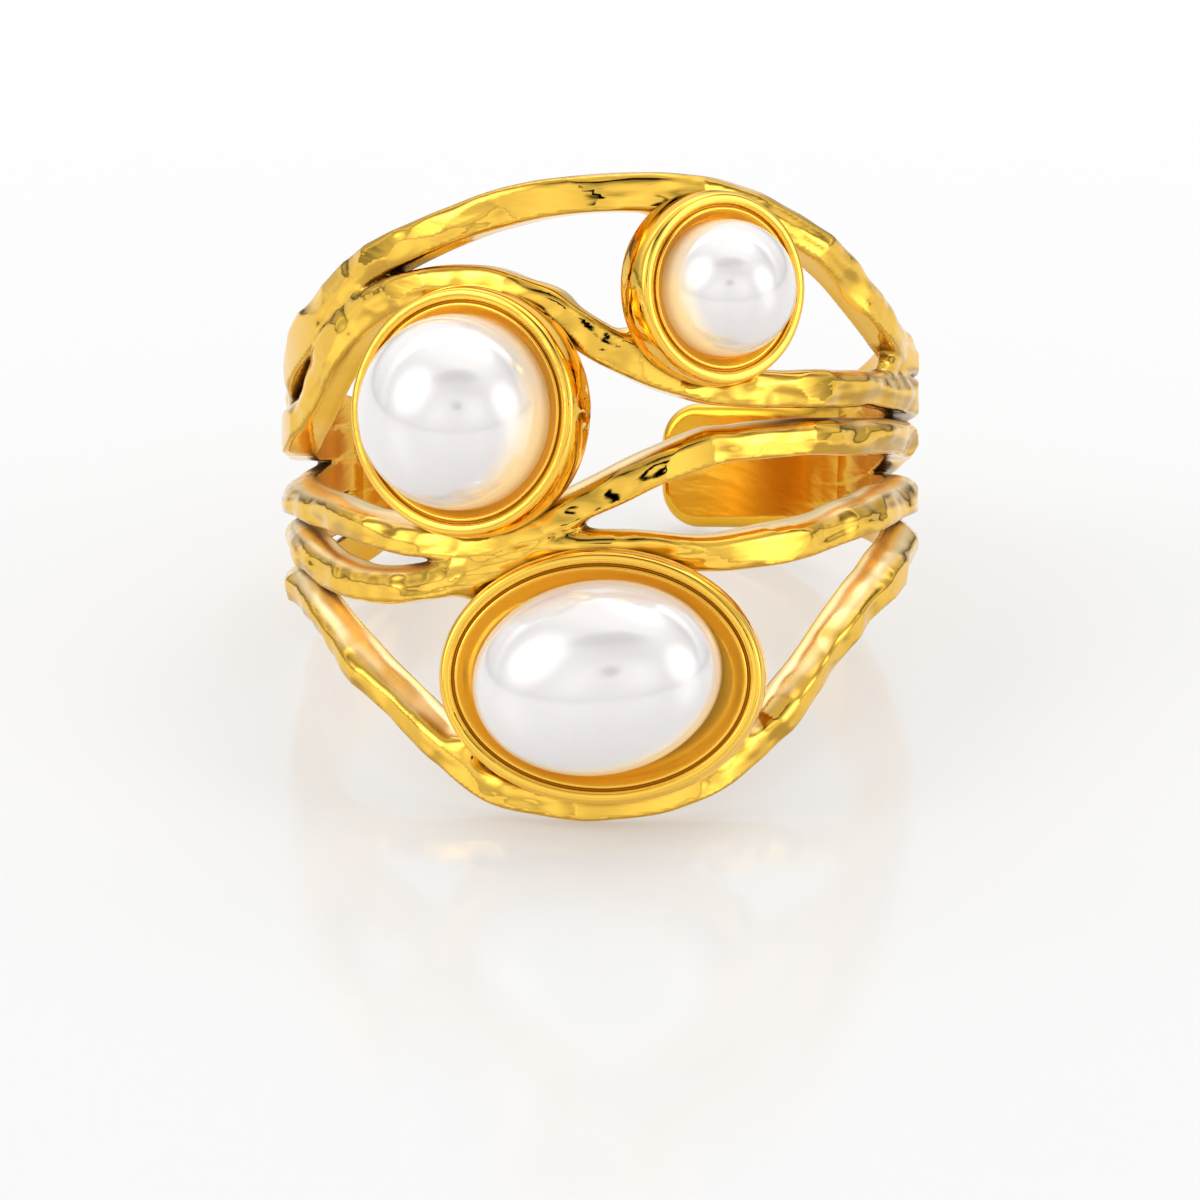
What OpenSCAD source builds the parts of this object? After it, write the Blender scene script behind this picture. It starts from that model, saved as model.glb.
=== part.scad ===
// Open wrap ring: five strips fan out across the front of the finger, run together into two
// flat tabs at the back, and carry three plain bezel cups, each with a half pearl.
// The ring lies as it rests by itself, leaning back on its lowest strip and on its two tabs.

/* [Finger] */
// Inner diameter of the band
finger_d = 18; // [17:0.1:19]

/* [Strips] */
// Thickness of the strips and the tabs, from the finger outward
strip_t = 1.2; // [1:0.05:1.25]
// Width of a strip's face
strip_w = 1.15; // [1:0.05:1.3]
// Height of the whole fan of strips across the front
fan_h = 19.5; // [18:0.1:21]

/* [Back tabs] */
// Height of a tab
tab_h = 4.2; // [4:0.1:4.6]
// Radius of a tab's corners
tab_corner_r = 1.25; // [0.6:0.05:1.6]
// Gap between the ends of the two tabs
back_gap = 4.4; // [3:0.1:6]

/* [Bezels] */
// Outer diameter of the large round cup
large_d = 7.4; // [7:0.1:7.8]
// Outer diameter of the small round cup
small_d = 5.7; // [5.4:0.1:6]
// Outer width of the oval cup
oval_w = 9.65; // [9.2:0.05:10]
// Outer height of the oval cup
oval_h = 7.5; // [7.2:0.05:8]
// Depth of a cup from its rim to its underside
cup_depth = 1.3; // [1.2:0.05:1.6]
// Thickness of a cup's wall
cup_wall = 0.42; // [0.3:0.02:0.5]
// Thickness of a cup's floor
cup_floor = 0.35; // [0.3:0.05:0.5]
// How far a cup's rim stands from the middle of the finger
rim_reach = 11; // [10.9:0.05:11.4]

/* [Pearls] */
// Diameter of the large round pearl
large_pearl_d = 5.75; // [5.2:0.05:5.8]
// Diameter of the small round pearl
small_pearl_d = 4.1; // [3.6:0.05:4.2]
// Width of the oval pearl
oval_pearl_w = 7.45; // [7:0.05:7.6]
// Height of the oval pearl
oval_pearl_h = 5.75; // [5.2:0.05:5.8]
// How far the oval pearl's dome stands above its rim
oval_pearl_rise = 2.6; // [2:0.05:3]
// Turn of the oval pearl in its cup
oval_pearl_turn = 9; // [0:1:12]
// Gap between a pearl's flat back and the floor of its cup
pearl_gap = 0.03; // [0.02:0.01:0.1]

/* [Rest] */
// Lean of the ring where it lies on its lowest strip and its tabs
lean = 24.21; // [22:0.01:26]

/* [Hidden] */
$fn = 96;

gold = "goldenrod";
pearl_white = "ivory";
finger_r = finger_d / 2;

// Heights of the strips' centre lines round the finger, read off the front view.
// Columns: angle from the middle of the front, then the height of strip A (top), B, C, D and E (bottom).
ANGLE = 0;
STATIONS = [
    [-150,  1.20,  0.60,  0.00, -0.65, -1.20],
    [-135,  1.30,  0.65,  0.00, -0.85, -1.75],
    [-120,  1.60,  0.75, -0.10, -1.30, -2.60],
    [-110,  1.85,  0.75, -0.30, -1.60, -3.00],
    [-100,  2.15,  0.80, -0.60, -1.90, -3.30],
    [ -90,  2.65,  0.90, -0.85, -2.15, -3.45],
    [ -80,  3.35,  1.10, -0.90, -2.30, -3.55],
    [ -70,  4.20,  1.80, -1.05, -2.60, -4.00],
    [ -60,  5.10,  3.15, -1.30, -3.10, -4.85],
    [ -50,  6.00,  4.60, -1.60, -3.45, -5.80],
    [ -40,  6.70,  5.35, -1.90, -3.45, -6.90],
    [ -30,  7.25,  5.70, -2.10, -3.25, -8.15],
    [ -20,  7.80,  5.65, -2.00, -2.75, -9.30],
    [ -10,  8.20,  4.95, -1.45, -2.40, -9.75],
    [   0,  8.38,  3.90, -0.65, -2.30, -9.88],
    [  10,  8.42,  3.05,  0.25, -2.35, -9.70],
    [  20,  8.25,  2.60,  0.80, -2.45, -9.10],
    [  30,  7.85,  2.50,  1.00, -2.25, -8.00],
    [  40,  7.15,  2.50,  1.05, -2.00, -6.45],
    [  50,  6.20,  2.55,  1.05, -1.60, -4.90],
    [  60,  5.10,  2.55,  1.05, -1.25, -3.75],
    [  70,  4.35,  2.45,  1.05, -1.00, -3.00],
    [  80,  3.90,  2.40,  1.00, -0.90, -2.55],
    [  90,  3.55,  2.25,  0.90, -0.80, -2.20],
    [ 100,  3.15,  1.90,  0.55, -0.75, -1.90],
    [ 110,  2.70,  1.40,  0.20, -0.75, -1.65],
    [ 120,  2.15,  1.00,  0.00, -0.70, -1.35],
    [ 135,  1.30,  0.65,  0.00, -0.60, -1.20],
    [ 150,  1.20,  0.60,  0.00, -0.60, -1.20]
];

// Where each strip differs from a plain one.
// Columns: column of STATIONS, width as a share of strip_w.
STRIP_COLUMN = 0;
STRIP_WIDTH = 1;
STRIPS = [
    [1, 1.04],
    [2, 1.00],
    [3, 0.92],
    [4, 0.96],
    [5, 1.04]
];

// The strips and tabs are cut out of one round sheet by wedges, which reach past both of its faces.
// A strip ends inside its tab, and the tab starts this far round the finger.
wedge_past = 1;
ring_step = 6;
strip_end = 144;
tab_start = 109;

// The ring stands on the inner edge of its lowest strip, which is this share of the fan's height below
// the middle of the tabs. Its box then has its middle this far in front of the finger's axis.
fan_low_share = 0.5373;
rest_z = fan_low_share * fan_h * cos(lean) - finger_r * sin(lean);
rest_y = 2.723;

// A seat places the middle of a cup's rim.
// Columns: angle round the finger, turn of the cup's axis, height of the middle, shift of its pearl
// to the right.
SEAT_ANGLE = 0;
SEAT_AXIS = 1;
SEAT_HEIGHT = 2;
SEAT_SHIFT = 3;
LARGE_SEAT = [-22.5, -25, 1.8, -0.1];
SMALL_SEAT = [20, 31, 5.5, 0];
OVAL_SEAT = [0, -6, -6.1, -0.12];

// Slope of a table's column at one row, from its neighbours.
function row_slope(row, column) =
    let (low = max(row - 1, 0), high = min(row + 1, len(STATIONS) - 1))
    (STATIONS[high][column] - STATIONS[low][column]) / (STATIONS[high][ANGLE] - STATIONS[low][ANGLE]);

// Last row whose angle isn't past this one.
function row_before(angle) =
    max([for (i = [0 : len(STATIONS) - 2]) if (STATIONS[i][ANGLE] <= angle) i]);

// Height of a strip's centre line at an angle, on one smooth curve through the stations.
function centre_height(angle, column) =
    let (
        i = row_before(angle),
        a = STATIONS[i],
        b = STATIONS[i + 1],
        span = b[ANGLE] - a[ANGLE],
        t = (angle - a[ANGLE]) / span
    )
    a[column] * (1 + 2 * t) * (1 - t) * (1 - t)
    + b[column] * t * t * (3 - 2 * t)
    + span * t * (1 - t) * ((1 - t) * row_slope(i, column) - t * row_slope(i + 1, column));

// A point of the band from its distance out, its angle and its height.
function round_finger(reach, angle, height) = [reach * sin(angle), -reach * cos(angle), height];

// One ring of the wedge around a strip, square to the strip's own run.
function wedge_ring(angle, strip) =
    let (
        column = strip[STRIP_COLUMN],
        arc = finger_r * PI / 180,
        rise = centre_height(angle + 0.5, column) - centre_height(angle - 0.5, column),
        run = norm([arc, rise]),
        half = strip_w * strip[STRIP_WIDTH] / 2,
        turn = half * rise / run / arc,
        up = half * arc / run,
        height = centre_height(angle, column),
        near = finger_r - wedge_past,
        far = finger_r + strip_t + wedge_past
    )
    [
        round_finger(near, angle - turn, height + up),
        round_finger(far, angle - turn, height + up),
        round_finger(far, angle + turn, height - up),
        round_finger(near, angle + turn, height - up)
    ];

// A closed skin through rings of points.
module skin(rings) {
    n = len(rings[0]);
    last = len(rings) - 1;
    polyhedron(
        points = [for (r = rings) each r],
        faces = concat(
            [[for (j = [0 : n - 1]) j]],
            [for (i = [0 : last - 1], j = [0 : n - 1])
                let (k = (j + 1) % n)
                each [
                    [i * n + j, (i + 1) * n + j, (i + 1) * n + k],
                    [i * n + j, (i + 1) * n + k, i * n + k]
                ]
            ],
            [[for (j = [n - 1 : -1 : 0]) last * n + j]]
        )
    );
}

module strips() {
    for (strip = STRIPS)
        skin([for (angle = [-strip_end : ring_step : strip_end]) wedge_ring(angle, strip)]);
}

// The right tab's outline, looking in at the back, with the rounded corners of its end.
module tab_outline() {
    start_x = finger_r * sin(tab_start);
    end_x = back_gap / 2;
    hull() {
        translate([start_x - tab_corner_r, -tab_h / 2])
            square([tab_corner_r, tab_h]);
        for (rise = [-1, 1])
            translate([end_x + tab_corner_r, rise * (tab_h / 2 - tab_corner_r)])
                circle(r = tab_corner_r);
    }
}

module tab() {
    rotate([-90, 0, 0])
        linear_extrude(height = 2 * finger_r)
            tab_outline();
}

// The sheet, with the fan of strips and the tabs cut out of it.
module cut_sheet() {
    intersection() {
        rotate_extrude()
            translate([finger_r, -fan_h])
                square([strip_t, 2 * fan_h]);
        resize([0, 0, fan_h])
            union() {
                strips();
                tab();
                mirror([1, 0, 0])
                    tab();
            }
    }
}

// Half outline of a cup: a floor, a wall with a round crest and a lower bead inside it.
function cup_profile(outer_r) =
    let (
        crest_r = cup_wall / 2,
        bead_r = crest_r * 0.6,
        crest_at = outer_r - crest_r,
        bead_at = outer_r - cup_wall - bead_r * 0.8,
        bead_top = -crest_r * 0.7,
        inner_r = bead_at - bead_r
    )
    concat(
        [[0, -cup_depth], [outer_r, -cup_depth]],
        [for (a = [0 : 15 : 150]) [crest_at + crest_r * cos(a), crest_r * (sin(a) - 1)]],
        [for (a = [60 : 20 : 180]) [bead_at + bead_r * cos(a), bead_top + bead_r * (sin(a) - 1)]],
        [[inner_r, -cup_depth + cup_floor], [0, -cup_depth + cup_floor]]
    );

module cup(outer_r) {
    rotate_extrude()
        polygon(cup_profile(outer_r));
}

// The oval cup's wall and floor, with its crest in two steps.
module oval_cup() {
    bead_w = cup_wall * 0.5;
    oval_wall(oval_w, oval_h, cup_wall, cup_depth);
    translate([0, 0, -cup_wall * 0.4])
        oval_wall(oval_w - 1.9 * cup_wall, oval_h - 1.9 * cup_wall, bead_w, cup_depth - cup_wall * 0.4);
    translate([0, 0, -cup_depth])
        linear_extrude(height = cup_floor)
            oval(oval_w - cup_wall, oval_h - cup_wall);
}

module oval(w, h) {
    scale([w / 2, h / 2])
        circle(r = 1);
}

module oval_wall(w, h, wall, depth) {
    translate([0, 0, -depth])
        linear_extrude(height = depth)
            difference() {
                oval(w, h);
                oval(w - 2 * wall, h - 2 * wall);
            }
}

// Puts its children on a seat: +Z leaves the finger, and +Y is up the band.
module on_seat(seat) {
    translate(round_finger(rim_reach, seat[SEAT_ANGLE], seat[SEAT_HEIGHT]))
        rotate([90, 0, seat[SEAT_AXIS]])
            children();
}

// The lean of the ring, with its lowest points at height zero and its box's middle over the origin.
module at_rest() {
    translate([0, rest_y, rest_z])
        rotate([-lean, 0, 0])
            children();
}

// A round pearl, cut flat where it stands on its cup's floor.
module round_pearl(d, seat) {
    back = cup_depth - cup_floor - pearl_gap;
    translate([seat[SEAT_SHIFT], 0, 0])
        intersection() {
            sphere(d = d);
            translate([0, 0, d - back])
                cube([2 * d, 2 * d, 2 * d], center = true);
        }
}

module oval_pearl() {
    back = cup_depth - cup_floor - pearl_gap;
    translate([OVAL_SEAT[SEAT_SHIFT], 0, 0])
        rotate([0, 0, oval_pearl_turn])
            intersection() {
                scale([oval_pearl_w / 2, oval_pearl_h / 2, oval_pearl_rise])
                    sphere(r = 1);
                translate([0, 0, oval_pearl_w - back])
                    cube(2 * oval_pearl_w, center = true);
            }
}

module band() {
    color(gold)
        at_rest()
            union() {
                cut_sheet();
                on_seat(LARGE_SEAT)
                    cup(large_d / 2);
                on_seat(SMALL_SEAT)
                    cup(small_d / 2);
                on_seat(OVAL_SEAT)
                    oval_cup();
            }
}

module pearl_large() {
    color(pearl_white)
        at_rest()
            on_seat(LARGE_SEAT)
                round_pearl(large_pearl_d, LARGE_SEAT);
}

module pearl_small() {
    color(pearl_white)
        at_rest()
            on_seat(SMALL_SEAT)
                round_pearl(small_pearl_d, SMALL_SEAT);
}

module pearl_oval() {
    color(pearl_white)
        at_rest()
            on_seat(OVAL_SEAT)
                oval_pearl();
}

band();
pearl_large();
pearl_small();
pearl_oval();
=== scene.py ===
"""A hammered gold ring whose five strips fan out round three half pearls in plain cups.

The ring is built in its own frame, in millimetres: +X to the right, +Y away from the viewer and +Z up the
finger, with the middle of the back tabs at height zero. RingPose then leans it back, as it lies.
"""

import logging
import math
from dataclasses import dataclass, field
from enum import Enum
from typing import Sequence

import bpy
import numpy as np
from mathutils import Matrix, Vector


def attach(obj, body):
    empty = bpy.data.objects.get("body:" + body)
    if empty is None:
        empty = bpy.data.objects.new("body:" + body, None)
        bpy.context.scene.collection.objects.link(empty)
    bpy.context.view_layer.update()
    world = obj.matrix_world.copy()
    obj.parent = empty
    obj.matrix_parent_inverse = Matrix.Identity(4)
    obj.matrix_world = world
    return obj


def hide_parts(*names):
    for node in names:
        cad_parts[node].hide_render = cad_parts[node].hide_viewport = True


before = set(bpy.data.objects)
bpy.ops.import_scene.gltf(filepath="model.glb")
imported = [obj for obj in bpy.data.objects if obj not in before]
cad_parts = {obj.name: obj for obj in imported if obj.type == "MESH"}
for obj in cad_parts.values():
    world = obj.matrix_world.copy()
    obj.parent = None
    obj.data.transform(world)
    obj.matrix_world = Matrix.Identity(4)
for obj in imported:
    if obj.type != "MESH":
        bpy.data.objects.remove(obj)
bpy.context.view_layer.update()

MM = 0.001
ROOT_BODY = "root"
# Painted reflection and glow of the gold on the pearls.
PAINTED_GLOW = "painted_gold_glow"
# Painted shade: in crevices, on the strips' edges and in the cups' grooves.
PAINTED_SHADE = "painted_shade"
# Rougher inner faces, with painted shade on them.
SATIN_AND_SHADE = "satin_and_shade"
# Brushing on the upper sides, with a painted highlight there.
BRUSHED_AND_HIGHLIT = "brushed_and_highlit"

# Further, in millimetres, than any distance that shapes the metal.
FAR = 9.0

log = logging.getLogger("ring")


@dataclass(frozen=True)
class RingPose:
    """How the ring lies: leaning back on its lowest strip and its two tabs."""

    lean: float = 24.21
    forward: float = 2.723
    lift: float = 5.865

    def matrix(self) -> Matrix:
        """Turn from the ring's own millimetres to the frame's metres."""
        turn = Matrix.Rotation(math.radians(-self.lean), 4, "X")
        return Matrix.Scale(MM, 4) @ Matrix.Translation((0.0, self.forward, self.lift)) @ turn

    def place(self, points: np.ndarray) -> np.ndarray:
        """Put points of the ring's own frame where the ring lies.

        Args:
            points: An array of points, one a row, in millimetres.

        Returns:
            The points in metres, in the frame that all pieces share.
        """
        m = np.array(self.matrix())
        return points @ m[:3, :3].T + m[:3, 3]

    def unturn(self, ways: np.ndarray) -> np.ndarray:
        """Turn unit directions of the frame back to the ring's own frame."""
        return ways @ np.array(self.matrix())[:3, :3] / MM


@dataclass(frozen=True)
class Finger:
    """The finger that the ring goes round, and the unrolled sheet that is measured on it."""

    radius: float = 9.0
    middle: float = 9.6

    @property
    def arc(self) -> float:
        """Length of one degree of the sheet's middle, in millimetres."""
        return math.radians(self.middle)

    def wrap(self, angle: np.ndarray, height: np.ndarray, depth: np.ndarray) -> np.ndarray:
        """Roll points of the unrolled sheet round the finger.

        Args:
            angle: Degrees round the finger from the middle of the front.
            height: Heights along the finger.
            depth: Distances out from the finger.

        Returns:
            The points, one a row.
        """
        turn = np.radians(angle)
        reach = self.radius + depth
        return np.stack([reach * np.sin(turn), -reach * np.cos(turn), height], axis=-1)


def smooth_curve(values: np.ndarray, spread: float) -> np.ndarray:
    """Average a row of evenly spaced values over their neighbours.

    Args:
        values: The values.
        spread: Width of the bell-shaped average, in steps.

    Returns:
        The smoothed values, as many as there were.
    """
    reach = max(int(3 * spread), 1)
    steps = np.arange(-reach, reach + 1)
    bell = np.exp(-0.5 * (steps / spread) ** 2)
    padded = np.pad(values, reach, mode="edge")
    return np.convolve(padded, bell / bell.sum(), mode="valid")


def soft_min(a: np.ndarray, b: np.ndarray, blend: float) -> np.ndarray:
    """Join two distance fields with a fillet about as wide as blend."""
    overlap = np.maximum(blend - np.abs(a - b), 0.0) / blend
    return np.minimum(a, b) - overlap * overlap * blend / 4


def round_meet(fields: Sequence[np.ndarray], radius: float) -> np.ndarray:
    """Cut distance fields by each other, and round the edges where they meet.

    Args:
        fields: Signed distances, negative on the inside of each.
        radius: Radius of the rounded edges.

    Returns:
        The signed distance to what is inside them all.
    """
    highest = np.maximum.reduce(list(fields))
    squares = sum(np.maximum(f + radius, 0.0) ** 2 for f in fields)
    return np.minimum(highest, -radius) + np.sqrt(squares)


def ease(value: np.ndarray | float, low: float, high: float) -> np.ndarray:
    """Go smoothly from 0 at low to 1 at high."""
    t = np.clip((value - low) / (high - low), 0.0, 1.0)
    return t * t * (3 - 2 * t)


# Heights of the strips' middles round the finger, from the top strip to the bottom one.
# Columns: angle from the middle of the front, then strips A, B, C, D and E.
ROUTES = (
    (-150, 1.20, 0.60, 0.00, -0.65, -1.20),
    (-135, 1.30, 0.65, 0.00, -0.85, -1.75),
    (-120, 1.60, 0.75, -0.10, -1.30, -2.60),
    (-110, 1.85, 0.75, -0.30, -1.60, -3.00),
    (-100, 2.15, 0.80, -0.60, -1.90, -3.30),
    (-90, 2.65, 0.90, -0.85, -2.15, -3.45),
    (-80, 3.35, 1.10, -0.90, -2.30, -3.55),
    (-70, 4.20, 1.80, -1.05, -2.60, -4.00),
    (-60, 5.10, 3.15, -1.30, -3.10, -4.85),
    (-50, 6.00, 4.60, -1.60, -3.45, -5.80),
    (-40, 6.70, 5.35, -1.90, -3.45, -6.90),
    (-30, 7.25, 5.70, -2.10, -3.25, -8.15),
    (-20, 7.80, 5.65, -2.00, -2.75, -9.30),
    (-10, 8.20, 4.95, -1.45, -2.40, -9.75),
    (0, 8.38, 3.90, -0.65, -2.30, -9.88),
    (10, 8.42, 3.05, 0.25, -2.35, -9.70),
    (20, 8.25, 2.60, 0.80, -2.45, -9.10),
    (30, 7.85, 2.50, 1.00, -2.25, -8.00),
    (40, 7.15, 2.50, 1.05, -2.00, -6.45),
    (50, 6.20, 2.55, 1.05, -1.60, -4.90),
    (60, 5.10, 2.55, 1.05, -1.25, -3.75),
    (70, 4.35, 2.45, 1.05, -1.00, -3.00),
    (80, 3.90, 2.40, 1.00, -0.90, -2.55),
    (90, 3.55, 2.25, 0.90, -0.80, -2.20),
    (100, 3.15, 1.90, 0.55, -0.75, -1.90),
    (110, 2.70, 1.40, 0.20, -0.75, -1.65),
    (120, 2.15, 1.00, 0.00, -0.70, -1.35),
    (135, 1.30, 0.65, 0.00, -0.60, -1.20),
    (150, 1.20, 0.60, 0.00, -0.60, -1.20),
)


# Where a strip is broader than elsewhere.
# Columns: strip, edge (1 upper, -1 lower), first and last angle, extra reach of that edge.
WIDENINGS = (
    (1, -1, -100.0, -52.0, 0.42),
    (2, 1, -100.0, -52.0, 0.20),
)


@dataclass
class Strip:
    """One strip of the fan: a hammered bar with soft edges, squarish in section.

    Lengths are in millimetres, places round the finger in degrees from the middle of the front, and slopes
    are ratios. A pair is the least and the most of a random draw, or where a change starts and ends.
    """

    column: int
    width: float
    thickness: float
    chamfer: float
    shift: float
    seed: int
    finger: Finger = field(default_factory=Finger)

    step: float = 0.25
    end: float = 150.0
    cut_off: float = 142.0
    route_blur: float = 2.6
    worked_from: tuple[float, float] = (16.0, 42.0)
    inner_sink: tuple[float, float] = (124.0, 138.0)
    outer_sink: tuple[float, float] = (116.0, 134.0)
    sink_depth: float = 0.35

    edge_radius: float = 0.12
    inner_radius: float = 0.1
    inner_gap: float = 0.02
    chamfer_tilt: float = 52.0
    edge_wave: float = 0.05
    edge_gap: tuple[float, float] = (0.7, 1.9)
    edge_blur: float = 0.12
    widening_blur: float = 8.0
    crown: float = 0.045
    thinnest: float = 0.5
    thickest: float = 1.19
    reach: float = 1.0

    facet_length: tuple[float, float] = (2.6, 6.0)
    facet_slope: float = 0.075
    slope_limit: float = 0.13
    facet_tilt: float = 0.12
    tilt_limit: float = 0.22
    facet_depth: float = 0.035
    facet_blend: float = 0.035
    facet_reach: float = 6.0
    flatness: float = 0.8
    outer_radius: float = 10.2

    dent_slope: float = 0.055
    dent_lengths: tuple[float, ...] = (4.6, 3.3, 2.4, 1.8, 1.3, 0.9)
    dent_heading: float = 1.1

    bowl_gap: tuple[float, float] = (1.5, 3.4)
    bowl_depth: tuple[float, float] = (0.015, 0.11)
    bowl_offset: float = 0.45
    bowl_long: tuple[float, float] = (2.2, 5.0)
    bowl_wide: tuple[float, float] = (1.2, 4.0)
    bowl_blend: float = 0.02
    bowl_front: float = 0.35
    bowl_from: tuple[float, float] = (18.0, 42.0)

    sway_gap: tuple[float, float] = (1.2, 3.4)
    sway_blur: float = 0.45
    ridge_sway: tuple[float, float] = (-0.32, 0.32)
    ridge_fall: float = 0.55
    ridge_radius: float = 0.07
    groove: float = 0.012
    groove_gap: float = 0.40
    groove_sway: tuple[float, float] = (-4.0, 4.0)

    def __post_init__(self) -> None:
        """Work out the strip's route and its hammer marks once."""
        self.angles = np.arange(-self.end, self.end + self.step / 2, self.step)
        table = np.array(ROUTES)
        heights = np.interp(self.angles, table[:, 0], table[:, self.column])
        self.heights = smooth_curve(heights, self.route_blur / self.step)
        self.slopes = np.gradient(self.heights, self.step) / self.finger.arc
        runs = np.hypot(1.0, self.slopes) * self.finger.arc * self.step
        self.lengths = np.cumsum(runs)
        self.rng = np.random.default_rng(self.seed)
        self.facets = self.hammer_marks()
        self.waves = self.slow_waves()
        self.bowls = self.hammer_bowls()
        self.upper_wave = self.edge_line() + self.widening(1)
        self.lower_wave = self.edge_line() + self.widening(-1)
        self.worked = ease(np.abs(self.angles), *self.worked_from)
        self.ridge = self.wander(*self.ridge_sway)
        self.upper_fall = self.wander(0.0, self.ridge_fall) * self.worked
        self.lower_fall = self.wander(0.0, self.ridge_fall) * self.worked
        self.groove_depth = self.wander(0.0, self.groove) * (0.5 + 0.5 * self.worked)
        self.groove_start = self.wander(*self.groove_sway)

    def hammer_marks(self) -> np.ndarray:
        """Spread the flat marks of the hammer along the strip.

        Returns:
            A row for each mark: its place along the strip, its depth, and its slope along and across.
        """
        rows = []
        place = 0.0
        most, widest = self.slope_limit, self.tilt_limit
        while place < self.lengths[-1]:
            place += self.rng.uniform(*self.facet_length)
            depth = -self.rng.uniform(0.0, self.facet_depth)
            slope = float(np.clip(self.rng.normal(0.0, self.facet_slope), -most, most))
            tilt = float(np.clip(self.rng.normal(0.0, self.facet_tilt), -widest, widest))
            rows.append((place, depth, slope, tilt))
        return np.array(rows)

    def slow_waves(self) -> list[tuple[float, float, float, float]]:
        """Pick the slow waves that the dents are made of.

        Returns:
            A row for each wave: its size, heading, length and start.
        """
        waves = []
        for length in self.dent_lengths:
            size = self.dent_slope * length / (2 * math.pi)
            heading = self.rng.uniform(-self.dent_heading, self.dent_heading)
            waves.append((size, heading, length, self.rng.uniform(0, 2 * math.pi)))
        return waves

    def hammer_bowls(self) -> list[tuple[float, float, float, float, float]]:
        """Scatter the round marks of the hammer.

        Returns:
            A row for each mark: its place along and across, its depth and its two radii.
        """
        bowls = []
        place = 0.0
        while place < self.lengths[-1]:
            place += self.rng.uniform(*self.bowl_gap)
            side = np.interp(place, self.lengths, np.abs(self.angles))
            strength = self.bowl_front + (1 - self.bowl_front) * float(ease(side, *self.bowl_from))
            depth = self.rng.uniform(*self.bowl_depth) * strength
            across = self.rng.uniform(-self.bowl_offset, self.bowl_offset)
            radii = (self.rng.uniform(*self.bowl_long), self.rng.uniform(*self.bowl_wide))
            bowls.append((place, across, depth, *radii))
        return bowls

    def drift(self, low: float, high: float, gap: tuple[float, float], blur: float) -> np.ndarray:
        """Wander between two values along the strip.

        Args:
            low: The least value.
            high: The greatest value.
            gap: The least and the greatest distance between two changes of course.
            blur: How long a change of course takes, in millimetres.

        Returns:
            The value at each of the strip's angles.
        """
        knots = [0.0]
        while knots[-1] < self.lengths[-1]:
            knots.append(knots[-1] + self.rng.uniform(*gap))
        values = np.interp(self.lengths, knots, self.rng.uniform(low, high, len(knots)))
        return smooth_curve(values, blur / (self.finger.arc * self.step))

    def edge_line(self) -> np.ndarray:
        """Make the small waves of one edge, at each of the strip's angles."""
        return self.drift(-self.edge_wave, self.edge_wave, self.edge_gap, self.edge_blur)

    def wander(self, low: float, high: float) -> np.ndarray:
        """Make a slow change between two values, at each of the strip's angles."""
        return self.drift(low, high, self.sway_gap, self.sway_blur)

    def widening(self, edge: int) -> np.ndarray:
        """How much further one edge reaches where WIDENINGS says so.

        Args:
            edge: 1 for the upper edge, -1 for the lower one.

        Returns:
            The extra reach at each of the strip's angles.
        """
        extra = np.zeros(len(self.angles))
        blur = self.widening_blur
        for column, side, start, stop, amount in WIDENINGS:
            if column == self.column and side == edge:
                grown = ease(self.angles, start - blur, start + blur)
                gone = ease(self.angles, stop - blur, stop + blur)
                extra = extra + amount * (grown - gone)
        return extra

    def distance(self, angle: np.ndarray, height: np.ndarray, depth: np.ndarray) -> np.ndarray:
        """Measure how far points are from the strip's skin.

        Args:
            angle: Degrees round the finger.
            height: Heights along the finger.
            depth: Distances out from the finger.

        Returns:
            Signed distances in millimetres, negative inside the metal.
        """
        middle = np.interp(angle, self.angles, self.heights)
        slope = np.interp(angle, self.angles, self.slopes)
        cosine = 1.0 / np.hypot(1.0, slope)
        across = (height - middle) * cosine
        along = np.interp(angle, self.angles, self.lengths) + (height - middle) * slope * cosine
        away = np.abs(across) - self.width
        face = self.face_depth(along, across, angle)
        half = self.width / 2
        upper = half + np.interp(angle, self.angles, self.upper_wave)
        lower = half + np.interp(angle, self.angles, self.lower_wave)
        tilt = math.radians(self.chamfer_tilt)
        cut = (across - upper + self.chamfer) * math.sin(tilt) + (depth - face) * math.cos(tilt)
        sides = (across - upper, -across - lower, depth - face, cut)
        body = round_meet(sides, self.edge_radius)
        buried = self.sink_depth * ease(np.abs(angle), *self.inner_sink)
        past = (np.abs(angle) - self.cut_off) * self.finger.arc
        skin = round_meet((body, self.inner_gap + buried - depth, past), self.inner_radius)
        return np.where(away > self.reach, np.maximum(skin, away), skin)

    def dents(self, along: np.ndarray, across: np.ndarray) -> np.ndarray:
        """Soft unevenness of the face, as a sum of slow waves in many directions.

        Args:
            along: Places along the strip.
            across: Places across the strip.

        Returns:
            How far the face stands out, in millimetres.
        """
        total = np.zeros(np.shape(along))
        for size, heading, length, start in self.waves:
            run = along * math.cos(heading) + across * math.sin(heading)
            total = total + size * np.sin(2 * math.pi * run / length + start)
        scoop = np.zeros(np.shape(along))
        for place, offset, depth, long_radius, wide_radius in self.bowls:
            bowl = (along - place) ** 2 / (2 * long_radius) + (across - offset) ** 2 / (2 * wide_radius)
            scoop = soft_min(scoop, bowl - depth, self.bowl_blend)
        return total + scoop

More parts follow.
